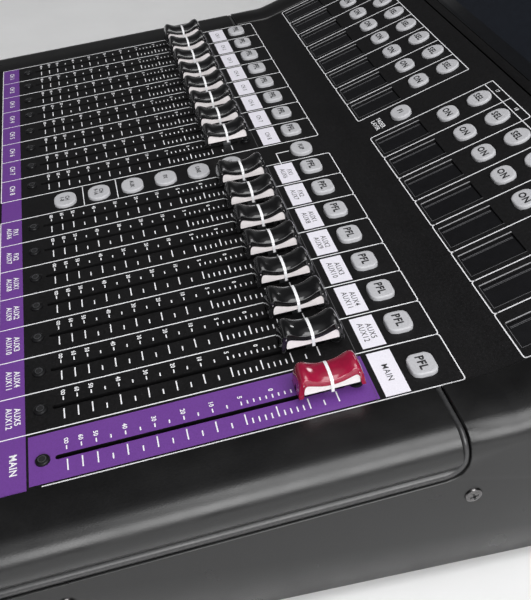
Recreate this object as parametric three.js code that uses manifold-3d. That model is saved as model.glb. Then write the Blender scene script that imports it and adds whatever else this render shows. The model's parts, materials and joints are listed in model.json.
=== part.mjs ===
// Digital mixing console: sixteen motor faders in two banks, a slope of channel keys and displays,
// and a screen section with encoders. Millimetres, +X right, +Y back, +Z up.
import * as THREE from "three";
import { mergeVertices } from "three/addons/utils/BufferGeometryUtils.js";
import Module from "manifold-3d";

const wasm = await Module();
wasm.setup();

// ---------------------------------------------------------------- driving dimensions
const DEG = Math.PI / 180;
const DECK_TILT = 6.2 * DEG; // fader deck above the horizontal
const SLOPE_TURN = 15.2 * DEG; // channel-key slope above the deck
const SCREEN_TURN = 16.6 * DEG; // screen section above the slope
const DECK_ORIGIN = [-49.9, 75.5]; // row Y and Z of the deck's +10 mark
const EDGE = 183.85; // half the panel's width
const SIDE = 27.5; // width of a side cheek beyond the panel
const SHOULDER = 8.5; // radius along the top outer edge of the cheeks
const CHEEK_RISE = 0.9; // top of the cheeks above the panel
const SHEET = 2.0; // panel sheet thickness
const GAP = 0.3; // clearance between neighbouring pieces
const BASE_Z = 8.0; // underside of the base above the table
const TOP_Z = 178.0; // top of the rear cap
const REAR_Y = 199.8; // rear face
const DECK_FRONT = -128.0; // front edge of the panel, on the deck
const REST_FRONT = -152.0; // front edge of the palm rest, on the deck
const REST_BACK = 34.4; // rear end of the palm rest, on the deck
const REST_LOW = -15.0; // lower edge of the palm rest, below the deck
const GROOVE = 3.0; // width of the groove round the palm rest
const PLAN_CORNER = 18.0; // front corner radius seen from above
const BEND = [69.9, 2.94]; // a point of the slope, deck Y and Z
const SLOPE_BACK = 78.0; // length of the slope behind that point
const SCREEN_BACK = 104.0; // length of the screen section
const MAIN_WIDTH = 26.66;
const STRIP = 21.37; // pitch of the other channel strips
const LAYER_WIDTH = 20.0; // column of layer keys between the two banks
const STRIPS_PER_BANK = 8;
const TRAVEL = 100.0; // fader travel
const CAP_Y = -1.8; // fader cap centre with the fader fully up
const SLOT = { width: 3.0, front: -105.1, back: 4.8 };
const KEY_RISE = 1.8; // key top above the panel
const KEY_DEPTH = 1.2; // keypad web thickness
const KEY_CLEAR = 0.35; // gap round a key
const PFL_Y = 34.5;
const ON_S = 40.3;
const SEL_S = 57.8;
const LAYER_Y = [-92.1, -74.5, -56.9, -39.3, -21.7, -4.1];

// ---------------------------------------------------------------- frames
const move = (x, y, z) => new THREE.Matrix4().makeTranslation(x, y, z);
const turnX = (angle) => new THREE.Matrix4().makeRotationX(angle);
const DECK = move(0, DECK_ORIGIN[0], DECK_ORIGIN[1]).multiply(turnX(DECK_TILT));
const SLOPE = DECK.clone().multiply(move(0, BEND[0], BEND[1])).multiply(turnX(SLOPE_TURN));
const SCREEN = SLOPE.clone().multiply(move(0, SLOPE_BACK, 0)).multiply(turnX(SCREEN_TURN));
const LEVEL = new THREE.Matrix4();

// ---------------------------------------------------------------- geometry helpers
function solid(geometry) {
  const flat = geometry.index ? geometry.toNonIndexed() : geometry;
  const bare = new THREE.BufferGeometry().setAttribute("position", flat.getAttribute("position"));
  const merged = mergeVertices(bare, 1e-4);
  return new wasm.Manifold(
    new wasm.Mesh({
      numProp: 3,
      vertProperties: merged.attributes.position.array,
      triVerts: new Uint32Array(merged.index.array),
    }),
  );
}

function geometryOf(body) {
  const mesh = body.getMesh();
  const geometry = new THREE.BufferGeometry();
  geometry.setAttribute("position", new THREE.BufferAttribute(mesh.vertProperties, 3));
  geometry.setIndex(new THREE.BufferAttribute(mesh.triVerts, 1));
  return geometry;
}

const join = (bodies) => bodies.reduce((a, b) => a.add(b));
const cut = (body, tools) => (tools.length ? body.subtract(join(tools)) : body);

// A polygon of [x, y] points, counter-clockwise, raised from z0 to z1 in a frame.
function prism(points, z0, z1, frame = LEVEL) {
  const shape = new THREE.Shape(points.map(([x, y]) => new THREE.Vector2(x, y)));
  const geometry = new THREE.ExtrudeGeometry(shape, { depth: z1 - z0, bevelEnabled: false });
  return solid(geometry.translate(0, 0, z0).applyMatrix4(frame));
}

// A side profile of [y, z] points, counter-clockwise seen from +X, drawn out from x0 to x1.
function profile(points, x0, x1, frame = LEVEL) {
  const shape = new THREE.Shape(points.map(([y, z]) => new THREE.Vector2(y, z)));
  const geometry = new THREE.ExtrudeGeometry(shape, { depth: x1 - x0, bevelEnabled: false });
  const upright = new THREE.Matrix4().set(0, 0, 1, x0, 1, 0, 0, 0, 0, 1, 0, 0, 0, 0, 0, 1);
  return solid(geometry.applyMatrix4(upright).applyMatrix4(frame));
}

function box([x0, x1], [y0, y1], [z0, z1], frame = LEVEL) {
  const geometry = new THREE.BoxGeometry(x1 - x0, y1 - y0, z1 - z0);
  geometry.translate((x0 + x1) / 2, (y0 + y1) / 2, (z0 + z1) / 2);
  return solid(geometry.applyMatrix4(frame));
}

// A rectangle with rounded corners, each corner drawn with a number of steps.
function rounded(cx, cy, width, depth, radius, steps = 2) {
  const points = [];
  for (let corner = 0; corner < 4; corner++) {
    const x = cx + (corner === 0 || corner === 3 ? 1 : -1) * (width / 2 - radius);
    const y = cy + (corner < 2 ? 1 : -1) * (depth / 2 - radius);
    for (let i = 0; i <= steps; i++) {
      const angle = (corner + i / steps) * 90 * DEG;
      points.push([x + radius * Math.cos(angle), y + radius * Math.sin(angle)]);
    }
  }
  return points;
}

const rectangle = (cx, cy, width, depth) =>
  [[-1, -1], [1, -1], [1, 1], [-1, 1]].map(([i, j]) => [cx + (i * width) / 2, cy + (j * depth) / 2]);

// Rings of equal length joined into one closed body; the end rings are filled flat.
function loft(rings, endPlane) {
  const count = rings[0].length;
  const position = rings.flat().flatMap((p) => [p[0], p[1], p[2]]);
  const index = [];
  for (let r = 0; r + 1 < rings.length; r++) {
    for (let i = 0; i < count; i++) {
      const a = r * count + i;
      const b = r * count + ((i + 1) % count);
      index.push(a, b, b + count, a, b + count, a + count);
    }
  }
  for (const [ring, last] of [[0, false], [rings.length - 1, true]]) {
    const outline = rings[ring].map((p) => new THREE.Vector2(...endPlane(p)));
    for (const [a, b, c] of THREE.ShapeUtils.triangulateShape(outline, [])) {
      const base = ring * count;
      index.push(base + a, base + (last ? b : c), base + (last ? c : b));
    }
  }
  const geometry = new THREE.BufferGeometry();
  geometry.setAttribute("position", new THREE.Float32BufferAttribute(position, 3));
  return geometry.setIndex(index);
}

// The same body on the other side of the X = 0 plane.
function mirrored(body) {
  const geometry = geometryOf(body).toNonIndexed().scale(-1, 1, 1);
  const p = geometry.attributes.position;
  const first = new THREE.Vector3();
  const second = new THREE.Vector3();
  for (let i = 0; i < p.count; i += 3) {
    first.fromBufferAttribute(p, i + 1);
    second.fromBufferAttribute(p, i + 2);
    p.setXYZ(i + 1, second.x, second.y, second.z);
    p.setXYZ(i + 2, first.x, first.y, first.z);
  }
  return solid(geometry);
}

// A turned body from [radius, height] points, its axis on +Z of the frame.
function turned(points, steps, frame) {
  const outline = points.map(([r, z]) => new THREE.Vector2(r, z));
  const geometry = new THREE.LatheGeometry(outline, steps).rotateX(Math.PI / 2);
  return solid(geometry.applyMatrix4(frame));
}

// ---------------------------------------------------------------- materials
const paint = (color, roughness, metalness) =>
  new THREE.MeshStandardMaterial({ color, roughness, metalness });
const PANEL_PAINT = paint(0x1b1b1e, 0.55, 0.2);
const CASE_PLASTIC = paint(0x141416, 0.45, 0.0);
const STEEL_PAINT = paint(0x202124, 0.5, 0.3);
const KEY_RUBBER = paint(0xbfc0c6, 0.6, 0.0);
const CAP_BLACK = paint(0x0c0c0e, 0.18, 0.0);
const CAP_RED = paint(0xb0112f, 0.18, 0.0);
const SMOKE = paint(0x2a2b2f, 0.25, 0.0);
const SCREEN_GLASS = paint(0x08090c, 0.1, 0.0);
const ZINC = paint(0x9a9da2, 0.4, 0.9);
const BOARD = paint(0x1d4a2c, 0.6, 0.0);
const RUBBER = paint(0x121212, 0.9, 0.0);
const KNOB_BLACK = paint(0x18181a, 0.5, 0.0);

const console3d = new THREE.Group();
console3d.name = "mixing_console";

function piece(name, body, material) {
  const mesh = new THREE.Mesh(geometryOf(body), material);
  mesh.name = name;
  console3d.add(mesh);
}

// ---------------------------------------------------------------- channel strips
function strips(right, widths) {
  const list = [];
  for (const width of widths) {
    const centre = right - width / 2 + (width === MAIN_WIDTH ? 1.1 : -0.5);
    list.push({ left: right - width, right, centre, width });
    right -= width;
  }
  return list;
}
const rightBank = strips(EDGE, [MAIN_WIDTH, ...Array(STRIPS_PER_BANK - 1).fill(STRIP)]);
const layerRight = rightBank[STRIPS_PER_BANK - 1].left;
const layerCentre = layerRight - LAYER_WIDTH / 2 + 1.0;
const leftBank = strips(layerRight - LAYER_WIDTH, Array(STRIPS_PER_BANK).fill(STRIP));
const banks = { right: rightBank, left: leftBank };
const allStrips = [...rightBank, ...leftBank];

// ---------------------------------------------------------------- side outline of the case
// The case's top surfaces as lines in the row's Y-Z plane, dropped by a depth below the outside.
function surfaceLine(frame, height) {
  const at = new THREE.Vector3(0, 0, height).applyMatrix4(frame);
  const along = new THREE.Vector3(0, 1, height).applyMatrix4(frame).sub(at);
  return { y: at.y, z: at.z, dy: along.y, dz: along.z };
}

function meet(a, b) {
  const cross = a.dy * b.dz - a.dz * b.dy;
  const t = ((b.y - a.y) * b.dz - (b.z - a.z) * b.dy) / cross;
  return [a.y + a.dy * t, a.z + a.dz * t];
}

// Points of the arc that rounds the corner between two lines.
function arcBetween(a, b, radius, steps) {
  const [y, z] = meet(a, b);
  const turn = Math.atan2(a.dy * b.dz - a.dz * b.dy, a.dy * b.dy + a.dz * b.dz);
  const setback = radius * Math.tan(Math.abs(turn) / 2);
  const start = [y - a.dy * setback, z - a.dz * setback];
  const heading = Math.atan2(a.dz, a.dy);
  const side = Math.sign(turn);
  const centre = [start[0] - side * radius * Math.sin(heading), start[1] + side * radius * Math.cos(heading)];
  const points = [];
  for (let i = 0; i <= steps; i++) {
    const angle = heading + (turn * i) / steps;
    points.push([centre[0] + side * radius * Math.sin(angle), centre[1] - side * radius * Math.cos(angle)]);
  }
  return points;
}

function topPath(drop) {
  const deck = surfaceLine(DECK, CHEEK_RISE - drop);
  const slope = surfaceLine(SLOPE, CHEEK_RISE - drop);
  const screen = surfaceLine(SCREEN, CHEEK_RISE - drop);
  const cap = { y: 0, z: TOP_Z - drop, dy: 1, dz: 0 };
  return [
    ...arcBetween(deck, slope, 24 + drop, 2),
    ...arcBetween(slope, screen, 30 + drop, 2),
    ...arcBetween(screen, cap, 16 - drop, 2),
  ];
}

function sideOutline(drop, rear, base, frontY) {
  const path = topPath(drop);
  const deck = surfaceLine(DECK, CHEEK_RISE - drop);
  const frontZ = deck.z + ((frontY - deck.y) * deck.dz) / deck.dy;
  return [[frontY, base], [rear, base], [rear, TOP_Z - drop], ...path.reverse(), [frontY, frontZ]];
}

// ---------------------------------------------------------------- palm rest and its groove
// A plan outline, inset from the outside, from its rear end round the two front corners.
function planRing(inset, back, z, steps = 5) {
  const x = EDGE + SIDE - inset;
  const front = REST_FRONT + inset;
  const radius = PLAN_CORNER - inset;
  const ring = [[x, back, z]];
  for (const side of [-1, 1]) {
    for (let i = 0; i <= steps; i++) {
      const angle = side < 0 ? (i / steps) * 90 * DEG : (1 - i / steps) * 90 * DEG;
      const px = -side * (x - radius + radius * Math.cos(angle));
      ring.push([px, front + radius - radius * Math.sin(angle), z]);
    }
  }
  ring.push([-x, back, z]);
  return ring.reverse();
}

// The front of the case as a solid with a rounded shoulder, inset from the outside.
function frontBody(inset, back, low, top) {
  const rings = [planRing(inset, back, low)];
  for (let i = 0; i <= 4; i++) {
    const angle = i * 22.5 * DEG;
    const radius = SHOULDER - inset;
    const z = CHEEK_RISE - SHOULDER + radius * Math.sin(angle) + (top - (CHEEK_RISE - inset));
    rings.push(planRing(inset + radius * (1 - Math.cos(angle)), back, z));
  }
  return solid(loft(rings, (p) => [p[0], p[1]]).applyMatrix4(DECK));
}

// A side profile whose lower rear corner is rounded, used to end the palm rest.
function endProfile(back, low, radius) {
  const points = [[-220, 40], [-220, low]];
  for (let i = 0; i <= 4; i++) {
    const angle = i * 22.5 * DEG;
    points.push([back - radius + radius * Math.sin(angle), low + radius - radius * Math.cos(angle)]);
  }
  points.push([back, 40]);
  return profile(points, -300, 300, DECK);
}

const WALL = 2.5;
const restOuter = frontBody(0, 60, -40, CHEEK_RISE).intersect(endProfile(REST_BACK, REST_LOW, 6));
const restInner = frontBody(WALL, 80, -60, CHEEK_RISE - WALL);
const panelWell = box([-EDGE - GAP, EDGE + GAP], [DECK_FRONT - GAP, 90], [-30, 30], DECK);
piece("palm_rest", cut(restOuter, [restInner, panelWell]), CASE_PLASTIC);

const grooveFloor = frontBody(WALL + GAP, 80, -60, CHEEK_RISE - WALL - GAP);
const groove = endProfile(REST_BACK + GROOVE, REST_LOW - GROOVE - 1, 6 + GROOVE).subtract(grooveFloor);

// ---------------------------------------------------------------- side cheeks
function cheek() {
  const rings = [];
  const levels = [[GAP, 0], [SIDE - SHOULDER, 0]];
  for (let i = 1; i <= 4; i++) {
    const angle = i * 22.5 * DEG;
    levels.push([SIDE - SHOULDER + SHOULDER * Math.sin(angle), SHOULDER * (1 - Math.cos(angle))]);
  }
  for (const [out, drop] of levels) {
    rings.push(sideOutline(drop, REAR_Y, BASE_Z, -230).map(([y, z]) => [EDGE + out, y, z]));
  }
  const full = solid(loft(rings, (p) => [p[1], p[2]]));
  const plan = planRing(0, 400, 0).map(([x, y]) => [x, y]);
  const trimmed = full.intersect(prism(plan, -200, 300, DECK));
  const pocket = profile(sideOutline(6, REAR_Y - 5, BASE_Z + 3, -188), EDGE - 5, EDGE + SIDE - 6);
  return cut(trimmed, [groove, pocket]);
}
const rightCheek = cheek();
piece("side_cheek_right", rightCheek, CASE_PLASTIC);
piece("side_cheek_left", mirrored(rightCheek), CASE_PLASTIC);

// ---------------------------------------------------------------- chassis
const JACK = { x: 140, z: 36, radius: 3.3 };
const jackFrame = move(JACK.x, 0, JACK.z).multiply(turnX(Math.PI / 2));
const apronBlank = box([-EDGE + GAP, EDGE - GAP], [REST_FRONT, REST_FRONT + 6], [-90, 20], DECK);
const apronFoot = box([-300, 300], [-300, 0], [-200, BASE_Z]);
const circle = (x, y, radius, steps) =>
  Array.from({ length: steps }, (_, i) => {
    const angle = ((i + 0.5) / steps) * 360 * DEG;
    return [x + radius * Math.cos(angle), y + radius * Math.sin(angle)];
  });
const jackHole = prism(circle(0, 0, 6.3, 12), 150, 230, jackFrame);
piece("front_apron", cut(apronBlank, [groove, apronFoot, jackHole]), STEEL_PAINT);

const frontInside = DECK_ORIGIN[0] - 138.8;
const basePlate = box([-EDGE + GAP, EDGE - GAP], [frontInside, REAR_Y - 3], [BASE_Z, BASE_Z + SHEET]);
const flanges = [-1, 1].map((side) => {
  const x = side * (EDGE - GAP - SHEET / 2);
  return box([x - SHEET / 2, x + SHEET / 2], [frontInside, REAR_Y - 3], [BASE_Z, BASE_Z + 22]);
});
piece("base_pan", join([basePlate, ...flanges]), STEEL_PAINT);

for (const [name, x, y] of [
  ["foot_front_left", -170, -165],
  ["foot_front_right", 170, -165],
  ["foot_rear_left", -170, 170],
  ["foot_rear_right", 170, 170],
]) {
  const outline = [[0, 0], [9, 0], [10.5, BASE_Z - 0.2], [0, BASE_Z - 0.2]];
  piece(name, turned(outline, 16, move(x, y, 0)), RUBBER);
}

// ---------------------------------------------------------------- deck and slope panel
function sheetProfile(lines, radii) {
  const upper = [];
  const lower = [];
  for (const [list, height] of [[upper, 0], [lower, -SHEET]]) {
    lines.forEach(([frame, start, end], i) => {
      const line = surfaceLine(frame, height);
      const next = lines[i + 1];
      if (i === 0) list.push([line.y + line.dy * start, line.z + line.dz * start]);
      if (next) list.push(...arcBetween(line, surfaceLine(next[0], height), radii[i] - height, 3));
      else list.push([line.y + line.dy * end, line.z + line.dz * end]);
    });
  }
  return [...lower, ...upper.reverse()];
}

const throughDeck = (points) => prism(points, -6, 6, DECK);
const throughSlope = (points) => prism(points, -6, 6, SLOPE);
const key = (x, y, width, depth, radius, steps) => ({ x, y, width, depth, radius, steps });
const hole = (k) =>
  rounded(k.x, k.y, k.width + 2 * KEY_CLEAR, k.depth + 2 * KEY_CLEAR, k.radius + KEY_CLEAR, k.steps);
const slot = (x) => {
  const { width, front, back } = SLOT;
  return rectangle(x, (front + back) / 2, width, back - front);
};
const WINDOW = { width: 13.8, front: 1.7, back: 26.5 };
const windowCentre = (strip) => (strip.left + strip.right) / 2 + 0.6;
const windowBox = (strip, grow) =>
  rectangle(
    windowCentre(strip),
    (WINDOW.front + WINDOW.back) / 2,
    WINDOW.width + 2 * grow,
    WINDOW.back - WINDOW.front + 2 * grow,
  );

const keyRows = [];
for (const [side, bank] of Object.entries(banks)) {
  keyRows.push({
    name: "pfl_keypad_" + side,
    frame: DECK,
    keys: bank.map((s) => key(s.centre, PFL_Y, 11.5, 10.4, 3.2, 2)),
  });
  keyRows.push({
    name: "on_keypad_" + side,
    frame: SLOPE,
    keys: bank.map((s) => key(s.centre, ON_S, 11.6, 10.5, 3.2, 2)),
  });
  keyRows.push({
    name: "sel_keypad_" + side,
    frame: SLOPE,
    keys: bank.map((s) => key(s.centre, SEL_S, 11.0, 12.5, 5.2, 2)),
  });
}
keyRows.push({
  name: "layer_keypad",
  frame: DECK,
  keys: LAYER_Y.map((y) => key(layerCentre, y, 13.2, 11.4, 5.2, 3)),
});
keyRows.push({ name: "flip_key", frame: DECK, keys: [key(layerCentre, 34.4, 13.1, 11.2, 5.2, 3)] });
keyRows.push({ name: "user_key", frame: SLOPE, keys: [key(layerCentre, 21.3, 12.0, 10.7, 5.0, 3)] });

const deckLines = [[DECK, DECK_FRONT, 0], [SLOPE, 0, SLOPE_BACK - 0.4]];
const panelBlank = profile(sheetProfile(deckLines, [24]), -EDGE, EDGE);
const panelHoles = [
  ...allStrips.map((s) => throughDeck(slot(s.centre))),
  ...allStrips.map((s) => throughSlope(windowBox(s, 0))),
  ...keyRows.flatMap((row) => row.keys.map((k) => prism(hole(k), -6, 6, row.frame))),
];
piece("top_panel", cut(panelBlank, panelHoles), PANEL_PAINT);

// ---------------------------------------------------------------- silicone keypads
for (const row of keyRows) {
  const tops = row.keys.map((k) => {
    const outline = rounded(k.x, k.y, k.width, k.depth, k.radius, k.steps);
    return prism(outline, -SHEET - GAP - KEY_DEPTH / 2, KEY_RISE, row.frame);
  });
  const xs = row.keys.flatMap((k) => [k.x - k.width / 2 - 1.4, k.x + k.width / 2 + 1.4]);
  const ys = row.keys.flatMap((k) => [k.y - k.depth / 2 - 1.2, k.y + k.depth / 2 + 1.2]);
  const high = -SHEET - GAP;
  const web = box(
    [Math.min(...xs), Math.max(...xs)],
    [Math.min(...ys), Math.max(...ys)],
    [high - KEY_DEPTH, high],
    row.frame,
  );
  piece(row.name, join([web, ...tops]), KEY_RUBBER);
}

// ---------------------------------------------------------------- channel display lenses
for (const [side, bank] of Object.entries(banks)) {
  const low = -SHEET - GAP - 1.5;
  const pads = bank.map((s) => prism(windowBox(s, -GAP), low + 0.5, -0.9, SLOPE));
  const bar = box([bank[7].left + 1, bank[0].right - 1], [0.4, 28.4], [low, -SHEET - GAP], SLOPE);
  piece("display_lens_" + side, join([bar, ...pads]), SMOKE);
}

// ---------------------------------------------------------------- faders
const CAP_SIDE = [
  [-12.75, 2.8],
  [12.75, 2.8],
  [12.2, 6.5],
  [10.8, 11.6],
  [9.2, 12.9],
  [7.0, 12.6],
  [3.6, 11.2],
  [0, 10.8],
  [-3.6, 11.2],
  [-7.0, 12.6],
  [-9.2, 12.9],
  [-10.8, 11.6],
  [-12.2, 6.5],
];
function faderCap(x) {
  const half = 5.7;
  const at = DECK.clone().multiply(move(x, CAP_Y, 0));
  const shell = geometryOf(profile(CAP_SIDE, -half, half));
  const p = shell.attributes.position;
  for (let i = 0; i < p.count; i++) p.setX(i, p.getX(i) * (1 - 0.022 * (p.getZ(i) - 2.8)));
  const grip = solid(shell.applyMatrix4(at));
  const lever = box([-0.7, 0.7], [-2.5, 2.5], [-11, 4.5], at);
  const carriage = box([-2.1, 2.1], [-4.5, 4.5], [-13, -9.5], at);
  return join([grip, lever, carriage]);
}
for (const [side, bank] of Object.entries(banks)) {
  bank.forEach((s, i) => {
    const number = STRIPS_PER_BANK - i;
    const main = side === "right" && i === 0;
    const name = main ? "fader_cap_main" : "fader_cap_" + side + "_" + number;
    piece(name, faderCap(s.centre), main ? CAP_RED : CAP_BLACK);
  });
  const plate = box([bank[7].left + 0.8, bank[0].right - 0.8], [-119, 20], [-4.3, -SHEET - GAP], DECK);
  const bodies = bank.map((s) => box([s.centre - 5.5, s.centre + 5.5], [-117, 17], [-20, -4], DECK));
  const tracks = bank.map((s) => box([s.centre - 2.6, s.centre + 2.6], [-109, 6], [-17, 0], DECK));
  piece("fader_tray_" + side, cut(join([plate, ...bodies]), tracks), ZINC);
}

// ---------------------------------------------------------------- screen section
const HOUSE = EDGE - GAP;
const screenFront = 0.4;
const capLine = { y: 0, z: TOP_Z - CHEEK_RISE, dy: 1, dz: 0 };
function housingPath(height) {
  const screen = surfaceLine(SCREEN, height);
  const cap = { ...capLine, z: capLine.z + height };
  const start = [screen.y + screen.dy * screenFront, screen.z + screen.dz * screenFront];
  return [start, ...arcBetween(screen, cap, 16 + height, 3), [REAR_Y - 3, cap.z]];
}
const housing = profile([...housingPath(-2.5), ...housingPath(0).reverse()], -HOUSE, HOUSE);
const SCREEN_X = -58;
const GLASS = { width: 170, depth: 92, centre: 51 };
const glassOutline = (grow) =>
  rounded(SCREEN_X, GLASS.centre, GLASS.width + 2 * grow, GLASS.depth + 2 * grow, 3 + grow, 2);
const ENCODERS = [60, 96].flatMap((x, column) =>
  [20, 50, 80].map((y, row) => ({ x, y, name: "encoder_" + (column * 3 + row + 1) })),
);
const WHEEL = { x: 146, y: 58, radius: 22 };
const housingHoles = [
  prism(glassOutline(GAP), -8, 8, SCREEN),
  ...[...ENCODERS, WHEEL].map((e) => prism(circle(e.x, e.y, 3.6, 12), -8, 8, SCREEN)),
];
piece("screen_housing", cut(housing, housingHoles), PANEL_PAINT);
piece("touch_screen", prism(glassOutline(0), -7, -0.4, SCREEN), SCREEN_GLASS);
for (const e of ENCODERS) {
  const outline = [[0, -9], [3, -9], [3, 0.9], [8, 0.9], [7.4, 13], [6.4, 14.2], [0, 14.2]];
  piece(e.name, turned(outline, 12, SCREEN.clone().multiply(move(e.x, e.y, 0))), KNOB_BLACK);
}
const wheelOutline = [[0, -9], [3, -9], [3, 0.9], [22, 0.9], [21.4, 6.5], [19.5, 8], [0, 8]];
piece("jog_wheel", turned(wheelOutline, 24, SCREEN.clone().multiply(move(WHEEL.x, WHEEL.y, 0))), KNOB_BLACK);

// ---------------------------------------------------------------- rear panel and connectors
const rearBox = (x, z, width, height, y0, y1) =>
  box([x - width / 2, x + width / 2], [y0, y1], [z - height / 2, z + height / 2]);
const rearFrame = move(0, REAR_Y, 0).multiply(turnX(Math.PI / 2));
const INPUTS = { x: -58, z: 110, width: 212, height: 60, pitch: 26 };
const OUTPUTS = { x: -58, z: 46, width: 212, height: 30, pitch: 26 };
const MAINS = { x: 140, z: 60, width: 50, height: 48 };
const PORTS = { x: 80, z: 46, width: 44, height: 22 };
const CONNECTORS = [INPUTS, OUTPUTS, MAINS, PORTS];
const rearSheet = box([-EDGE + GAP, EDGE - GAP], [REAR_Y - 2.5, REAR_Y], [BASE_Z, TOP_Z - CHEEK_RISE]);
const rearHoles = CONNECTORS.map((c) =>
  rearBox(c.x, c.z, c.width + 2 * GAP, c.height + 2 * GAP, REAR_Y - 10, REAR_Y + 10),
);
piece("rear_panel", cut(rearSheet, rearHoles), STEEL_PAINT);

// The outer face of every connector block stands a little proud of the rear panel.
const block = (c, depth) => rearBox(c.x, c.z, c.width, c.height, REAR_Y - depth, REAR_Y + 0.8);
const columns = Array.from({ length: 8 }, (_, i) => i - 3.5);
const inputShells = columns.flatMap((c) =>
  [-14.5, 14.5].map((dz) =>
    prism(circle(INPUTS.x + c * INPUTS.pitch, INPUTS.z + dz, 9.5, 10), -2.0, 0, rearFrame),
  ),
);
piece("xlr_input_block", join([block(INPUTS, 14), ...inputShells]), ZINC);
const outputCups = columns.map((c) =>
  prism(circle(OUTPUTS.x + c * OUTPUTS.pitch, OUTPUTS.z, 8, 12), -3, 11, rearFrame),
);
piece("xlr_output_block", cut(block(OUTPUTS, 14), outputCups), ZINC);

const SOCKET = { z: MAINS.z - 9, width: 24.4, height: 16.6, depth: 17 };
const ROCKER = { z: MAINS.z + 13, width: 20, height: 13, tilt: 8 * DEG };
const socketHole = rearBox(MAINS.x, SOCKET.z, SOCKET.width, SOCKET.height, REAR_Y - 17, REAR_Y + 3);
const pins = [[-7, 2], [0, -2], [7, 2]].map(([dx, dz]) =>
  rearBox(MAINS.x + dx, SOCKET.z + dz, 2, 4, REAR_Y - 19, REAR_Y - 6),
);
const rockerHole = rearBox(MAINS.x, ROCKER.z, ROCKER.width + 1, ROCKER.height + 1, REAR_Y - 12, REAR_Y + 3);
const mainsBody = cut(block(MAINS, 24), [socketHole, rockerHole]);
piece("mains_inlet", join([mainsBody, ...pins]), CASE_PLASTIC);
const rockerSide = [[-7, -4], [-0.5, -6], [1.0, -6.2], [2.6, 0], [1.0, 6.2], [-0.5, 6], [-7, 4]];
const rockerPivot = move(MAINS.x, REAR_Y - 4, ROCKER.z);
const rockerFrame = rockerPivot.multiply(turnX(ROCKER.tilt)).multiply(move(0, 4, 0));
piece("power_rocker", profile(rockerSide, -ROCKER.width / 2, ROCKER.width / 2, rockerFrame), KNOB_BLACK);

const rj45 = rearBox(PORTS.x - 9, PORTS.z, 15, 13, REAR_Y - 12, REAR_Y + 3);
const usb = rearBox(PORTS.x + 11, PORTS.z, 13, 5.6, REAR_Y - 12, REAR_Y + 3);
piece("network_usb_block", cut(block(PORTS, 16), [rj45, usb]), ZINC);

const bushing = prism(circle(0, 0, 6, 12), 178, 202.34, jackFrame);
const jackBore = prism(circle(0, 0, JACK.radius, 12), 186, 230, jackFrame);
piece("headphone_jack", cut(bushing, [jackBore]), ZINC);

// ---------------------------------------------------------------- boards and supply
const pflBoard = box([-EDGE + 4, EDGE - 4], [25, 44], [-8, -6.4], DECK);
const layerBoard = box([layerCentre - 8, layerCentre + 8], [-102, 26], [-8, -6.4], DECK);
piece("deck_key_board", join([pflBoard, layerBoard]), BOARD);
piece("slope_key_board", box([-EDGE + 4, EDGE - 4], [1, 70], [-8, -6.4], SLOPE), BOARD);
piece("main_board", box([-160, 60], [-60, 150], [22, 23.6]), BOARD);
piece("power_supply", box([90, 172], [40, 165], [14, 44]), ZINC);

export default console3d;
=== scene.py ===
"""Looks of the mixing console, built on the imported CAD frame."""

import json
import math

import bpy
from mathutils import Matrix, Vector


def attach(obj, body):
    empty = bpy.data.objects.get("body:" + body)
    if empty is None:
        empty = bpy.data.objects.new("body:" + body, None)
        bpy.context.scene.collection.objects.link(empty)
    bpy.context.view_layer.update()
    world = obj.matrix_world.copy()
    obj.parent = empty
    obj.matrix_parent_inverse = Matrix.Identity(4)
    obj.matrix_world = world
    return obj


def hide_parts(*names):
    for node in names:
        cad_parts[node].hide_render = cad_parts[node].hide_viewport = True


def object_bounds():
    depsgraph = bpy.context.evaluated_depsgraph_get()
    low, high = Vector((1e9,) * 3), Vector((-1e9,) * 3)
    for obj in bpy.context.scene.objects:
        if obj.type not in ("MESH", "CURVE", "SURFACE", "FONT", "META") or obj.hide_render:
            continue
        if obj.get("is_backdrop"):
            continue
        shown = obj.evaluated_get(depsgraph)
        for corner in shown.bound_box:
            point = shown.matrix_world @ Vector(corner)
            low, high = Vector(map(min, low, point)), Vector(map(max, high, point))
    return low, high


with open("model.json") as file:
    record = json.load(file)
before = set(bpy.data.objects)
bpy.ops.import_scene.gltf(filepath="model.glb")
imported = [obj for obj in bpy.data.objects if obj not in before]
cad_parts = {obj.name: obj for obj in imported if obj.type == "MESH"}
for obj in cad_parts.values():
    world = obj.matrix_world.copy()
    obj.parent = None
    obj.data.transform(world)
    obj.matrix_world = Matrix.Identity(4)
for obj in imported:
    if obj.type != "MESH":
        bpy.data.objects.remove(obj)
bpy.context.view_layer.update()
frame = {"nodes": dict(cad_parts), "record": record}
scene = bpy.context.scene


# ---------------------------------------------------------------- frames, millimetres
def turn_x(degrees):
    return Matrix.Rotation(math.radians(degrees), 4, "X")


EDGE = 183.85  # half the width of the deck panel
DECK_TILT, SLOPE_RISE, SCREEN_RISE = 6.2, 15.2, 16.6
REAR_Y = 199.8
DECK = Matrix.Translation((0, -49.9, 75.5)) @ turn_x(DECK_TILT)
SLOPE = DECK @ Matrix.Translation((0, 69.9, 2.94)) @ turn_x(SLOPE_RISE)
SCREEN = SLOPE @ Matrix.Translation((0, 78.0, 0)) @ turn_x(SCREEN_RISE)
REAR = Matrix.Translation((0, REAR_Y, 0)) @ Matrix.Rotation(math.pi, 4, "Z") @ turn_x(90)


# ---------------------------------------------------------------- materials
PLAIN_SCALE = 400  # features per metre of the colour variation where there is no grain
HAZE_SCALE = 60  # features per metre of the roughness variation


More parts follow.
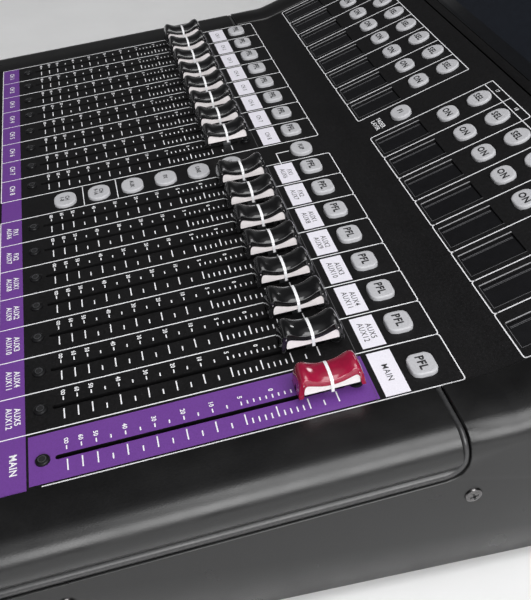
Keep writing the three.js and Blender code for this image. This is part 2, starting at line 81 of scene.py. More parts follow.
def material(name, color, roughness, metallic=0.0, grain=None, vary=0.0, wear=None, haze=0.06, **sockets):
    """A procedural surface: colour variation, roughness variation and a grain in the bump.

    grain is (features per metre, depth in metres, strength); vary is the share of colour variation;
    wear is (colour, share) of the lighter colour that fine speckles show; haze is the spread of roughness.
    """
    made = bpy.data.materials.new(name)
    made.use_nodes = True
    nodes, links = made.node_tree.nodes, made.node_tree.links
    shader = nodes["Principled BSDF"]
    shader.inputs["Metallic"].default_value = metallic
    for socket, value in sockets.items():
        shader.inputs[socket.replace("_", " ")].default_value = value
    place = nodes.new("ShaderNodeTexCoord").outputs["Object"]

    def noise(scale, detail):
        node = nodes.new("ShaderNodeTexNoise")
        node.inputs["Scale"].default_value = scale
        node.inputs["Detail"].default_value = detail
        links.new(place, node.inputs["Vector"])
        return node.outputs["Fac"]

    def ramp(source, low, high, start=0.3, end=0.7):
        node = nodes.new("ShaderNodeValToRGB")
        node.color_ramp.elements[0].color = (*low, 1)
        node.color_ramp.elements[1].color = (*high, 1)
        node.color_ramp.elements[0].position = start
        node.color_ramp.elements[1].position = end
        links.new(source, node.inputs["Fac"])
        return node.outputs["Color"]

    scale = grain[0] if grain else PLAIN_SCALE
    darker = [c * (1 - vary) for c in color]
    lighter = [min(1.0, c * (1 + vary)) for c in color]
    surface = ramp(noise(scale * 0.6, 4), darker, lighter)
    if wear:
        speck = nodes.new("ShaderNodeMix")
        speck.data_type = "RGBA"
        links.new(ramp(noise(scale * 1.4, 2), (0, 0, 0), (1, 1, 1), 1 - wear[1], 1.0), speck.inputs["Factor"])
        links.new(surface, speck.inputs["A"])
        speck.inputs["B"].default_value = (*wear[0], 1)
        surface = speck.outputs["Result"]
    links.new(surface, shader.inputs["Base Color"])
    low = [max(0.02, roughness - haze)] * 3
    high = [min(1.0, roughness + haze)] * 3
    links.new(ramp(noise(HAZE_SCALE, 5), low, high), shader.inputs["Roughness"])
    if grain:
        bump = nodes.new("ShaderNodeBump")
        bump.inputs["Strength"].default_value = grain[2]
        bump.inputs["Distance"].default_value = grain[1]
        links.new(noise(grain[0], 3), bump.inputs["Height"])
        links.new(bump.outputs["Normal"], shader.inputs["Normal"])
    return made


PANEL = material("panel_paint", (0.0040, 0.0038, 0.0042), 0.56, grain=(1500, 0.00009, 0.6), vary=0.6,
                 wear=((0.045, 0.043, 0.046), 0.40), Specular_IOR_Level=0.24)
CASE = material("case_plastic", (0.0032, 0.0031, 0.0033), 0.33, grain=(1500, 0.00007, 0.5), vary=0.3,
                Specular_IOR_Level=0.68)
# lighter grey of the strip laid in the groove round the palm rest: a painted highlight of the groove's lit
# wall
GROOVE_HIGHLIGHT_GREY = material("groove_highlight_strip", (0.034, 0.034, 0.035), 0.34, grain=(1500, 0.00003, 0.3), vary=0.2,
                Specular_IOR_Level=0.6)
CHASSIS = material("case_paint", (0.008, 0.008, 0.0085), 0.55, grain=(1500, 0.00006, 0.5), vary=0.3,
                   Specular_IOR_Level=0.3)
WHITE = material("white_ink", (0.85, 0.85, 0.87), 0.5, grain=(3000, 0.00001, 0.2), vary=0.05)
GREY_INK = material("grey_ink", (0.10, 0.10, 0.105), 0.5, grain=(3000, 0.00001, 0.2), vary=0.1)
PURPLE = material("purple_ink", (0.142, 0.045, 0.265), 0.42, grain=(2600, 0.00003, 0.3), vary=0.08)
LABEL = material("label_ink", (0.80, 0.78, 0.85), 0.5, grain=(2600, 0.00002, 0.25), vary=0.05)
# near-black for print, and for the dark shapes that stand for screw recesses and contact holes, where it is
# painted shade
INK_AND_RECESS_SHADE = material("dark_ink_and_recess_shade", (0.012, 0.012, 0.013), 0.5, grain=(3000, 0.00001, 0.2), vary=0.1)
SILICONE = material("key_silicone", (0.47, 0.47, 0.49), 0.55, grain=(2200, 0.00003, 0.3), vary=0.05,
                    Sheen_Weight=0.15)
CAP_BLACK = material("cap_black", (0.006, 0.006, 0.0065), 0.13, grain=(900, 0.000006, 0.15), vary=0.2,
                     Coat_Weight=0.4, Coat_Roughness=0.06)
CAP_RED = material("cap_red", (0.28, 0.007, 0.036), 0.15, grain=(900, 0.000006, 0.15), vary=0.08,
                   Coat_Weight=0.5, Coat_Roughness=0.06)
CORE = material("cap_core", (0.88, 0.83, 0.83), 0.4, grain=(1500, 0.00001, 0.2), vary=0.03)
LENS = material("smoke_lens", (0.006, 0.006, 0.007), 0.2, vary=0.15, haze=0.01)
# light grey of the window edge that faces the light: a painted highlight
LENS_EDGE_HIGHLIGHT = material("lens_edge_highlight", (0.34, 0.34, 0.35), 0.3, grain=(900, 0.00001, 0.2), vary=0.15)
GLASS = material("screen_glass", (0.006, 0.0065, 0.008), 0.17, vary=0.1, haze=0.006,
                 Coat_Weight=0.6, Coat_Roughness=0.1)
DISPLAY = material("display_area", (0.010, 0.012, 0.017), 0.17, vary=0.1, haze=0.006)
METAL = material("zinc_steel", (0.42, 0.43, 0.45), 0.34, 1.0, grain=(1400, 0.00002, 0.3), vary=0.12)
TRAY = material("blackened_steel", (0.014, 0.014, 0.015), 0.5, 0.4, grain=(1400, 0.00002, 0.3), vary=0.2)
SCREW = material("screw_steel", (0.16, 0.155, 0.155), 0.2, 1.0, grain=(1800, 0.00002, 0.3), vary=0.2)
SCREW_BLACK = material("screw_black", (0.014, 0.014, 0.015), 0.22, 0.5, grain=(1800, 0.00002, 0.3), vary=0.2)
KNOB = material("knob_plastic", (0.016, 0.016, 0.0175), 0.42, grain=(1600, 0.00003, 0.35), vary=0.2)
FOOT = material("foot_rubber", (0.012, 0.012, 0.012), 0.75, grain=(900, 0.0001, 0.5), vary=0.25)
BOARD = material("circuit_board", (0.02, 0.11, 0.045), 0.4, grain=(600, 0.00004, 0.4), vary=0.3)
FLOOR = material("floor", (0.80, 0.80, 0.80), 0.6, grain=(40, 0.0002, 0.05), vary=0.02)


# ---------------------------------------------------------------- piece builder
METRES = 0.001  # one millimetre


class Piece:
    """Collects faces in millimetres and in local frames, and becomes one mesh object."""

    def __init__(self):
        self.points, self.faces, self.indices, self.materials = [], [], [], []

    def add(self, points, faces, place, surface):
        """Faces of one material, with their points in the frame of place."""
        if surface not in self.materials:
            self.materials.append(surface)
        first = len(self.points)
        self.points += [(place @ Vector(p)) * METRES for p in points]
        self.faces += [[first + i for i in face] for face in faces]
        self.indices += [self.materials.index(surface)] * len(faces)

    def loft(self, rings, place, surface, ends=True):
        """Rings of equal length, joined; the ends are filled."""
        count = len(rings[0])
        points = [p for ring in rings for p in ring]
        faces = []
        for r in range(len(rings) - 1):
            for i in range(count):
                j = (i + 1) % count
                faces.append((r * count + i, r * count + j, (r + 1) * count + j, (r + 1) * count + i))
        if ends:
            faces.append(tuple(range(count))[::-1])
            faces.append(tuple((len(rings) - 1) * count + i for i in range(count)))
        self.add(points, faces, place, surface)

    def slab(self, outline, low, high, place, surface):
        """An outline of [x, y] points, counter-clockwise, raised from low to high."""
        self.loft([[(x, y, low) for x, y in outline], [(x, y, high) for x, y in outline]], place, surface)

    def text(self, words, x, y, size, height, place, surface, weight=0.02):
        """Flat lettering centred on [x, y]; weight thickens the strokes, as a share of the size."""
        points, faces = glyphs(words, size, weight)
        self.add(points, faces, place @ Matrix.Translation((x, y, height)), surface)

    def build(self, name, body, replaces=(), angle=32.0):
        """The mesh object, riding on its body; edges sharper than the angle stay sharp."""
        mesh = bpy.data.meshes.new(name)
        mesh.from_pydata(self.points, [], self.faces)
        for surface in self.materials:
            mesh.materials.append(surface)
        mesh.polygons.foreach_set("material_index", self.indices)
        mesh.polygons.foreach_set("use_smooth", [True] * len(self.faces))
        mesh.update()
        mesh.set_sharp_from_angle(angle=math.radians(angle))
        made = bpy.data.objects.new(name, mesh)
        scene.collection.objects.link(made)
        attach(made, body)
        if replaces:
            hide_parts(*replaces)


glyph_cache = {}


def glyphs(words, size, weight):
    """Flat letter faces of a text, centred on the origin, in millimetres."""
    if (words, size, weight) not in glyph_cache:
        curve = bpy.data.curves.new("letters", "FONT")
        curve.body = words
        curve.size = size
        curve.align_x = "CENTER"
        curve.resolution_u = 2
        curve.offset = weight * size
        curve.space_line = 0.95
        curve.space_character = 1.1
        made = bpy.data.objects.new("letters", curve)
        scene.collection.objects.link(made)
        bpy.context.view_layer.update()
        mesh = made.evaluated_get(bpy.context.evaluated_depsgraph_get()).to_mesh()
        xs = [v.co.x for v in mesh.vertices]
        ys = [v.co.y for v in mesh.vertices]
        cx, cy = (min(xs) + max(xs)) / 2, (min(ys) + max(ys)) / 2
        points = [(v.co.x - cx, v.co.y - cy, 0) for v in mesh.vertices]
        faces = [tuple(p.vertices) for p in mesh.polygons]
        bpy.data.objects.remove(made)
        bpy.data.curves.remove(curve)
        glyph_cache[(words, size, weight)] = (points, faces)
    return glyph_cache[(words, size, weight)]


def at(x, y, z=0.0):
    return Matrix.Translation((x, y, z))


def rectangle(x0, x1, y0, y1):
    return [(x0, y0), (x1, y0), (x1, y1), (x0, y1)]


def rounded(cx, cy, width, depth, radius, steps):
    """A rectangle with round corners, counter-clockwise."""
    points = []
    for corner in range(4):
        x = cx + (1 if corner in (0, 3) else -1) * (width / 2 - radius)
        y = cy + (1 if corner < 2 else -1) * (depth / 2 - radius)
        for i in range(steps + 1):
            angle = math.radians((corner + i / steps) * 90)
            points.append((x + radius * math.cos(angle), y + radius * math.sin(angle)))
    return points


def circle(x, y, radius, steps):
    turns = [2 * math.pi * i / steps for i in range(steps)]
    return [(x + radius * math.cos(a), y + radius * math.sin(a)) for a in turns]


def stroke(piece, path, width, low, high, place, surface):
    """A printed line of constant width along a path of [x, y] points, with mitred corners."""
    left, right = [], []
    for i, (x, y) in enumerate(path):
        before = Vector(path[i]) - Vector(path[i - 1]) if i else Vector(path[1]) - Vector(path[0])
        after = Vector(path[i + 1]) - Vector(path[i]) if i + 1 < len(path) else before
        before.normalize()
        after.normalize()
        along = (before + after).normalized()
        across = Vector((-along.y, along.x)) * (width / 2 / max(0.3, along.dot(before)))
        left.append((x + across.x, y + across.y))
        right.append((x - across.x, y - across.y))
    count = len(path)
    points = [(x, y, z) for z in (low, high) for x, y in left + right]
    faces = []
    for i in range(count - 1):
        a, b = i, i + 1
        top = 2 * count
        faces.append((top + a, top + count + a, top + count + b, top + b))
        faces.append((a, top + a, top + b, b))
        faces.append((count + a, count + b, top + count + b, top + count + a))
    piece.add(points, faces, place, surface)


def corner_path(points, radius, steps=4):
    """A path whose inner corners are rounded."""
    path = [points[0]]
    for before, here, after in zip(points, points[1:], points[2:]):
        here = Vector(here)
        one = (Vector(before) - here).normalized() * radius
        two = (Vector(after) - here).normalized() * radius
        for i in range(steps + 1):
            t = i / steps
            path.append(tuple(here + one * (1 - t) ** 2 + two * t ** 2))
    return path + [points[-1]]


# ---------------------------------------------------------------- channel strips
MAIN_WIDTH, STRIP, LAYER_WIDTH = 26.66, 21.37, 20.0
MAIN_SHIFT, STRIP_SHIFT, LAYER_SHIFT = 1.1, -0.5, 1.0  # from the middle of the strip to its fader or keys


def strips(right, widths, names):
    """The strips of one bank from right to left."""
    made = []
    for width, name in zip(widths, names):
        centre = right - width / 2 + (MAIN_SHIFT if width == MAIN_WIDTH else STRIP_SHIFT)
        made.append({"left": right - width, "right": right, "centre": centre, "name": name})
        right -= width
    return made


RIGHT_NAMES = ["MAIN", "AUX5\nAUX12", "AUX4\nAUX11", "AUX3\nAUX10", "AUX2\nAUX9", "AUX1\nAUX8"]
RIGHT_NAMES += ["FX2\nAUX7", "FX1\nAUX6"]
RIGHT = strips(EDGE, [MAIN_WIDTH] + [STRIP] * 7, RIGHT_NAMES)
LAYER_RIGHT = RIGHT[-1]["left"]
LAYER_X = LAYER_RIGHT - LAYER_WIDTH / 2 + LAYER_SHIFT
LEFT = strips(LAYER_RIGHT - LAYER_WIDTH, [STRIP] * 8, [f"CH {n}" for n in range(8, 0, -1)])
BANKS = {"right": RIGHT, "left": LEFT}

# ---------------------------------------------------------------- printing on the deck
INK, OVER = 0.05, 0.09  # heights of printed areas and of what is printed over them
LINE = 0.44  # width of the strip lines
FRAME_FRONT, DECK_END, SLOPE_END, FLAG_END = -125.3, 47.0, 65.5, 70.0  # ends of the strip lines
CORNER = 1.4  # radius of the frames' corners
RIM_INSET = 0.5  # of the main strip's line from the edge of the panel
LABELS = (16.6, 26.2)  # the band of white labels
FOOTER = (-125.0, -114.8)  # the purple band
LABEL_MARGIN, FOOTER_MARGIN = 1.5, 0.2  # gaps to the strip lines
TICKS = [(-100, ""), (-94.6, "60"), (-89.1, "50"), (-78.3, "40"), (-67.4, "30"), (-56.5, "20"), (-45.7, "10"),
         (-34.8, "5"), (-22.8, "0"), (-10.9, "5"), (0, "10")]
SMALL_TICKS = [-83.7, -72.8, -61.95, -51.1, -40.2, -5.4]
SMALL_TICKS += [-34.8 + 12.0 * i / 5 for i in range(1, 5)] + [-22.8 + 11.9 * i / 5 for i in range(1, 5)]

lines = Piece()
areas = Piece()
letters = Piece()


def tick(x0, x1, y, width=0.5):
    lines.slab(rectangle(x0, x1, y - width / 2, y + width / 2), 0.0, OVER, DECK, WHITE)


def white_line(path, place, width=LINE):
    stroke(lines, path, width, 0.0, OVER, place, WHITE)


def fader_scale(x):
    """Marks and numerals on both sides of a slot; the lowest mark has an infinity sign from two rings."""
    for y, words in TICKS:
        tick(x + 2.0, x + 7.2, y)
        tick(x - 4.6, x - 2.7, y)
        if words:
            letters.text(words, x - 6.9, y, 2.5, OVER, DECK, WHITE, weight=0.03)
            continue
        for side in (-0.68, 0.68):
            ring = circle(x - 6.9 + side, y, 0.62, 14)
            white_line(ring + ring[:1], DECK, 0.34)
    for y in SMALL_TICKS:
        tick(x + 4.6, x + 7.2, y)
        tick(x - 4.6, x - 2.9, y)


def bank_printing(bank, main):
    """Lines, labels, purple band and channel numbers of one bank."""
    left, right = bank[-1]["left"], bank[0]["right"]
    for strip in bank:
        fader_scale(strip["centre"])
        if strip is not bank[-1]:
            white_line([(strip["left"], FRAME_FRONT), (strip["left"], 46.0)], DECK)
            white_line([(strip["left"], 1.0), (strip["left"], SLOPE_END)], SLOPE)
        edge = strip["right"] - (RIM_INSET if main and strip is bank[0] else 0.0)
        corners = [(edge, 45.0), (edge, DECK_END), (strip["left"], DECK_END), (strip["left"], 45.0)]
        white_line(corner_path(corners, CORNER), DECK)
        corners = [(edge, 2.0), (edge, 0.0), (strip["left"], 0.0), (strip["left"], 2.0)]
        white_line(corner_path(corners, CORNER), SLOPE)
        low = strip["left"] + LABEL_MARGIN
        high = strip["right"] - LABEL_MARGIN
        areas.slab(rectangle(low, high, *LABELS), 0.0, INK, DECK, LABEL)
        two_rows = "\n" in strip["name"]
        size = 3.4 if two_rows else 3.5
        letters.text(strip["name"], (low + high) / 2, 21.4, size, OVER, DECK, INK_AND_RECESS_SHADE, weight=0.005)
        size = 3.4 if two_rows else 3.9
        letters.text(strip["name"], (low + high) / 2, -119.4, size, OVER, DECK, WHITE)
        footer = rectangle(strip["left"] + FOOTER_MARGIN, strip["right"] - FOOTER_MARGIN, *FOOTER)
        areas.slab(footer, 0.0, INK, DECK, PURPLE)
        window(strip)
    rim = right - (RIM_INSET if main else 0.0)
    for x, start in ((left, FRAME_FRONT), (rim, -109.5 if main else FRAME_FRONT)):
        white_line([(x, start), (x, 45.0)], DECK)
        white_line([(x, 2.0), (x, SLOPE_END)], SLOPE)
    white_line([(left, FRAME_FRONT), (rim, FRAME_FRONT)], DECK)
    stroke(lines, [(left + 1, 13.4), (right - 1, 13.4)], 0.22, 0.0, INK, DECK, GREY_INK)
    white_line([(left, SLOPE_END), (rim, SLOPE_END)], SLOPE)
    white_line([(left, SLOPE_END), (left, FLAG_END)], SLOPE)
    white_line([(left + STRIP, SLOPE_END), (left + STRIP, FLAG_END)], SLOPE)
    end = left + 2 * STRIP
    white_line(corner_path([(left, FLAG_END), (end, FLAG_END), (end, SLOPE_END)], 1.5), SLOPE)
    for i in range(2):
        letters.text(str(17 + i), left + (i + 0.5) * STRIP, 67.8, 2.6, OVER, SLOPE, WHITE)


WINDOW = (13.8, 1.7, 26.5)  # width, front and back of a channel display
WINDOW_SHIFT = 0.6  # of a display from the middle of its strip


def window(strip):
    """Strips round one channel display: a light one on the left, a painted highlight of the window's lit
    edge, and thin grey ones at the front and the right.
    """
    width, front, back = WINDOW
    x = (strip["left"] + strip["right"]) / 2 + WINDOW_SHIFT
    low, high = x - width / 2, x + width / 2
    lines.slab(rectangle(low - 0.75, low - 0.25, front, back), 0.0, 0.12, SLOPE, LENS_EDGE_HIGHLIGHT)
    lines.slab(rectangle(low - 0.3, high + 0.3, front - 0.32, front - 0.1), 0.0, 0.06, SLOPE, GREY_INK)
    lines.slab(rectangle(high + 0.1, high + 0.32, front, back), 0.0, 0.06, SLOPE, GREY_INK)


SLOT = (-104.3, 4.2, 1.05)  # front end, back end and half width of a fader slot


def beside_slot(x, side, edge, front, back):
    """The outline of the area on one side of a fader slot with rounded ends, out to an edge."""
    start, end, half = SLOT
    inner = []
    for i in range(7):
        a = math.radians(i * 15)
        inner.append((x + side * half * math.sin(a), start + half - half * math.cos(a)))
    for i in range(7):
        a = math.radians(90 - i * 15)
        inner.append((x + side * half * math.sin(a), end - half + half * math.cos(a)))
    outline = [(x, front)] + inner + [(x, back), (edge, back), (edge, front)]
    return outline if side < 0 else outline[::-1]


slot_lips = Piece()
for bank in BANKS.values():
    for strip in bank:
        for side in (-1, 1):
            outline = beside_slot(strip["centre"], side, strip["centre"] + side * 1.7, -105.5, 5.4)
            slot_lips.slab(outline, -0.5, 0.03, DECK, PANEL)
slot_lips.build("fader_slot_lips", "console")
bank_printing(RIGHT, True)
bank_printing(LEFT, False)
main = RIGHT[0]
for side, edge in ((-1, main["left"] + 1.55), (1, main["right"] - 1.6)):
    areas.slab(beside_slot(main["centre"], side, edge, -113.9, 14.3), 0.0, INK, DECK, PURPLE)
footer = rectangle(LAYER_RIGHT - LAYER_WIDTH + 0.3, LAYER_RIGHT - 0.3, *FOOTER)
areas.slab(footer, 0.0, INK, DECK, PURPLE)
for y in (-82.7, -65.2):
    white_line([(LAYER_RIGHT - LAYER_WIDTH + 0.8, y), (LAYER_RIGHT - 0.8, y)], DECK)
bracket = [(LAYER_X - 1.3, 27.9), (LAYER_X - 1.3, 20.8), (LAYER_RIGHT + 1.4, 20.8)]
white_line(bracket, DECK, 0.5)
letters.text("FADER\nLAYER", LAYER_X, 8.0, 3.2, OVER, SLOPE, WHITE)
areas.build("printed_areas", "console")
lines.build("printed_lines", "console")
letters.build("printed_letters", "console")


# ---------------------------------------------------------------- silicone keys
PFL_RISE, SLOPE_KEY_RISE, LAYER_RISE = 1.8, 1.35, 1.45  # key tops above the panel


def key_shape(piece, place, x, y, width, depth, radius, words, size, rise=PFL_RISE):
    """One key with a softly rounded rim and its lettering."""
    rings = []
    for z, inset in ((-1.4, 0), (rise - 0.75, 0), (rise - 0.38, 0.1), (rise - 0.14, 0.32), (rise - 0.03, 0.7),
                     (rise - 0.01, 1.4)):
        outline = rounded(x, y, width - 2 * inset, depth - 2 * inset, max(0.5, radius - inset), 7)
        rings.append([(px, py, z) for px, py in outline])
    piece.loft(rings, place, SILICONE)
    piece.text(words, x, y, size, rise + 0.03, place, INK_AND_RECESS_SHADE, weight=0.035)


# y, width, depth and corner radius of the keys in each row
PFL, ON, SEL = (34.5, 11.5, 10.4, 3.3), (40.3, 11.6, 10.5, 4.3), (57.8, 11.1, 12.6, 5.4)
LAYER_KEYS = {-92.1: "CH\n1-8", -74.5: "CH\n9-16", -56.9: "AUX", -39.3: "FX", -21.7: "LINE", -4.1: "USB"}
for side, bank in BANKS.items():
    for row, place, (y, width, depth, radius), words in (
        ("pfl", DECK, PFL, "PFL"),
        ("on", SLOPE, ON, "ON"),
        ("sel", SLOPE, SEL, "SEL"),
    ):
        keys = Piece()
        for strip in bank:
            rise = PFL_RISE if row == "pfl" else SLOPE_KEY_RISE
            key_shape(keys, place, strip["centre"], y, width, depth, radius, words, 4.6, rise)
        node = f"{row}_keypad_{side}"
        keys.build(f"{row}_keys_{side}", node + "_keys", [node])
keys = Piece()
for y, words in LAYER_KEYS.items():
    key_shape(keys, DECK, LAYER_X, y, 13.2, 11.4, 5.3, words, 2.9, LAYER_RISE)
keys.build("layer_keys", "layer_keypad_keys", ["layer_keypad"])
keys = Piece()
key_shape(keys, DECK, LAYER_X, 34.4, 13.1, 11.2, 5.3, "FLIP", 3.2)
keys.build("flip_key_cap", "flip_key_keys", ["flip_key"])
keys = Piece()
key_shape(keys, SLOPE, LAYER_X, 21.3, 12.0, 10.7, 5.1, "F1", 3.8)
keys.build("user_key_cap", "user_key_keys", ["user_key"])

# ---------------------------------------------------------------- display lenses
LENS_GAP, LENS_TOP = 0.15, -0.9  # gap round a lens and its top below the panel
for side, bank in BANKS.items():
    lens = Piece()
    width, front, back = WINDOW
    for strip in bank:
        x = (strip["left"] + strip["right"]) / 2 + WINDOW_SHIFT
        low, high = x - width / 2 + LENS_GAP, x + width / 2 - LENS_GAP
        y0, y1 = front + LENS_GAP, back - LENS_GAP
        rings = []
        for z, inset in ((-3.0, 0), (-1.0, 0), (LENS_TOP, 0.12)):
            outline = rounded(x, (y0 + y1) / 2, high - low - 2 * inset, y1 - y0 - 2 * inset, 0.6, 3)
            rings.append([(px, py, z) for px, py in outline])
        lens.loft(rings, SLOPE, LENS)
        for start, end in ((1.3, 1.6), (2.0, 2.2)):
            line = rectangle(low + start, low + end, y0 + 0.6, y1 - 0.6)
            lens.slab(line, LENS_TOP, -0.86, SLOPE, GREY_INK)
    lens.build(f"display_windows_{side}", "console", [f"display_lens_{side}"])


# ---------------------------------------------------------------- fader caps
def blend_table(table, t):
    """The value at t in a table of (t, value) rows, blended between the rows."""
    for (a, va), (b, vb) in zip(table, table[1:]):
        if t <= b:
            k = (t - a) / (b - a)
            return va + (vb - va) * k
    return table[-1][1]


# heights of the crest and of the lower rim by distance from the middle, and the distances of the sections
TOP = [(0, 10.95), (1.5, 11.0), (3, 11.2), (4.5, 11.62), (6, 12.25), (7.2, 12.95), (8.2, 13.5), (9.2, 13.78),
       (10.0, 13.7), (10.7, 13.2), (11.3, 12.3), (11.8, 10.9), (12.2, 9.4), (12.5, 7.4), (12.7, 5.4),
       (12.8, 4.1)]
RIM = [(0, 7.8), (2, 7.9), (4, 8.25), (6, 8.9), (8, 9.65), (8.9, 9.9), (9.5, 9.85), (10.0, 9.4), (10.35, 8.6),
       (10.6, 7.4), (10.8, 6.0), (11.0, 4.6), (11.4, 4.0), (12.8, 3.85)]
STATIONS = [0, 0.8, 1.6, 2.4, 3.2, 4, 4.8, 5.6, 6.4, 7.2, 7.9, 8.5, 9.0, 9.5, 10.0, 10.35, 10.6, 10.8, 11.0,
            11.4, 11.8, 12.1, 12.35, 12.55, 12.7, 12.8]
CORE_STATIONS = [0, 2, 4, 6, 8, 9.4, 10.1, 10.55]
ARCH = 7.6  # height of the arch under the shell
ARCH_END = 12.47  # where the arch ends inside the end leg
LEG_START, SHELL_LEG = 10.5, 10.8  # where the arch closes and where the shell narrows
CAP_Y = -1.8  # the middle of a cap with its fader fully up
CREST = 2.4  # half the width of the crest
CORE_BOTTOM, CARRIER_AND_SHADE_BLOCK = 5.5, (4.3, 5.55)  # heights of the core's foot and of the dark block under it, which stands for the carrier and for painted shade under the cap
RIBBON_X, RIBBON_HALF = 5.72, 0.6  # the white line across a cap


def cap_section(t):
    """The shell's cross-section at a distance t from the middle, with an arch between the two end legs."""
    reach = abs(t)
    top, rim = blend_table(TOP, reach), blend_table(RIM, reach)
    swell = min(1.0, reach / 9.0) ** 2
    taper = max(0.0, (reach - SHELL_LEG) / 2.0)
    ridge = 5.3 - 0.25 * swell - 0.35 * taper
    foot = 5.65 - 0.3 * taper
    side = max(rim + 0.15, top - 1.3)
    middle = (side + rim) / 2
    half = [
        (foot - 1.5, rim),
        (foot, rim),
        (foot + 0.02, rim + 0.3 * min(1.0, (side - rim) / 2)),
        (ridge + 0.12, middle),
        (ridge + 0.06, side - 0.16),
        (ridge - 0.1, side + 0.06),
        (ridge - 0.35 * (ridge - CREST), side + 0.52 * (top - side)),
        (CREST + 0.1, side + 0.9 * (top - side)),
        (CREST * 0.55, top),
    ]
    along = math.copysign(ARCH_END, t) if reach > ARCH_END else t
    roof = max(top, ARCH) if reach > ARCH_END else top
    under = rim if reach < LEG_START else min(roof, max(rim, ARCH - 0.15))
    ring = [(x, t, max(z, min(rim, top))) for x, z in half]
    ring += [(0.0, along, roof + 0.02)]
    ring += [(-x, t, max(z, min(rim, top))) for x, z in reversed(half)]
    return ring + [(-2.6, along, under), (2.6, along, under)]


def both_ways(distances):
    """Distances from the middle, which come first in the list as zero, to both ends."""
    return [-t for t in reversed(distances[1:])] + distances


def fader_cap(node, x, surface):
    """Shell, white core, a dark block for the carrier and the painted shade under the cap, lever and the
    white line across, as one piece.
    """
    cap = Piece()
    place = DECK @ at(x, CAP_Y)
    cap.loft([cap_section(t) for t in both_ways(STATIONS)], place, surface)
    core = []
    for t in both_ways(CORE_STATIONS):
        high = blend_table(RIM, min(8.9, abs(t))) + 0.5
        core.append([(5.3, t, CORE_BOTTOM), (5.2, t, high), (-5.2, t, high), (-5.3, t, CORE_BOTTOM)])
    cap.loft(core, place, CORE)
    # dark block under the core: the cap's carrier, and painted shade under the cap
    cap.slab(rounded(0, 0, 9.2, 22.0, 1.5, 3), *CARRIER_AND_SHADE_BLOCK, place, SCREW_BLACK)
    cap.slab(rectangle(-0.7, 0.7, -2.0, 2.0), -9, 4.4, place, METAL)
    over = [(px + 0.06 * (1 if px > 0 else -1), pz + 0.06) for px, _, pz in cap_section(0)[1:-3]]
    low = CARRIER_AND_SHADE_BLOCK[0]
    ribbon = [(RIBBON_X, low), (RIBBON_X, ARCH)] + over + [(-RIBBON_X, ARCH), (-RIBBON_X, low)]
    for (xa, za), (xb, zb) in zip(ribbon, ribbon[1:]):
        points = [(xa, -RIBBON_HALF, za), (xb, -RIBBON_HALF, zb)]
        points += [(xb, RIBBON_HALF, zb), (xa, RIBBON_HALF, za)]
        cap.add(points, [(0, 1, 2, 3)], place, WHITE)
    cap.build(node + "_shell", node + "_slider", [node], 50)


for side, bank in BANKS.items():
    for i, strip in enumerate(bank):
        is_main = side == "right" and i == 0
        node = "fader_cap_main" if is_main else f"fader_cap_{side}_{8 - i}"
        fader_cap(node, strip["centre"], CAP_RED if is_main else CAP_BLACK)


# ---------------------------------------------------------------- screws
SCREW_PROFILE = ((1, 0), (1, 0.35), (0.93, 0.68), (0.75, 0.9), (0.45, 1))  # shares of radius and height
FADER_SCREWS = (-108.8, 8.5)
SIDE_SCREWS = ((39.0, -30.0), (-110.0, -30.0), (150.0, -10.0), (150.0, -60.0))
CHEEK = 27.4  # from the edge of the panel to the screws' seat on the cheek


def screw(piece, place, radius, height, surface, hexagon=False):
    """A domed head with a cross recess, or with a bright ring and a hexagon recess; the recesses are dark
    shapes laid on the head, painted shade, and the bright metal ring is a painted highlight.
    """
    rings = []
    for r, z in SCREW_PROFILE:
        rings.append([(px, py, height * z) for px, py in circle(0, 0, radius * r, 28)])
    piece.loft(rings, place, surface)
    if hexagon:
        # bright metal ring: a painted highlight on the head; dark hexagon: painted shade in the recess
        piece.slab(circle(0, 0, radius * 0.56, 24), height * 0.96, height * 1.0, place, METAL)
        piece.slab(circle(0, 0, radius * 0.5, 6), height * 0.96, height * 1.03, place, INK_AND_RECESS_SHADE)
        return
    # the cross is drawn dark: painted shade in the recess
    arm, wide = radius * 0.52, radius * 0.14
    for angle in (20, 110):
        spin = place @ Matrix.Rotation(math.radians(angle), 4, "Z")
        piece.slab(rectangle(-arm, arm, -wide, wide), height * 0.9, height * 1.02, spin, INK_AND_RECESS_SHADE)


screws = Piece()
for bank in BANKS.values():
    for strip in bank:
        for y in FADER_SCREWS:
            screw(screws, DECK @ at(strip["centre"], y), 2.8, 1.15, SCREW_BLACK, hexagon=True)
screws.build("fader_screws", "console")

side_screws = Piece()
for direction in (-1, 1):
    out = Matrix.Rotation(math.radians(90 * direction), 4, "Y")
    for y, z in SIDE_SCREWS:
        spot = DECK @ Vector((direction * (EDGE + CHEEK), y, z))
        screw(side_screws, Matrix.Translation(spot) @ out, 3.4, 1.3, SCREW)
side_screws.build("case_screws", "console")


# ---------------------------------------------------------------- lighter grey strip in the groove round the palm rest: a painted highlight of the groove's lit wall
SIDE, SHOULDER, PLAN = 27.5, 8.5, 18.0  # width of the side, radii of shoulder and corner
REST_FRONT, REST_BACK, REST_LOW, REST_TOP = -152.0, 34.4, -15.0, 0.9
CORNER_LOW = 6.0  # radius of the lower corner at the groove
REST_GAP = 0.3  # between the rest and the edge of the panel
HIGHLIGHT_STRIP_ROWS = ((0.25, 2.2), (0.6, 0.8), (1.5, 0.45), (2.4, 0.8), (2.75, 2.2))  # offset and inset of each line


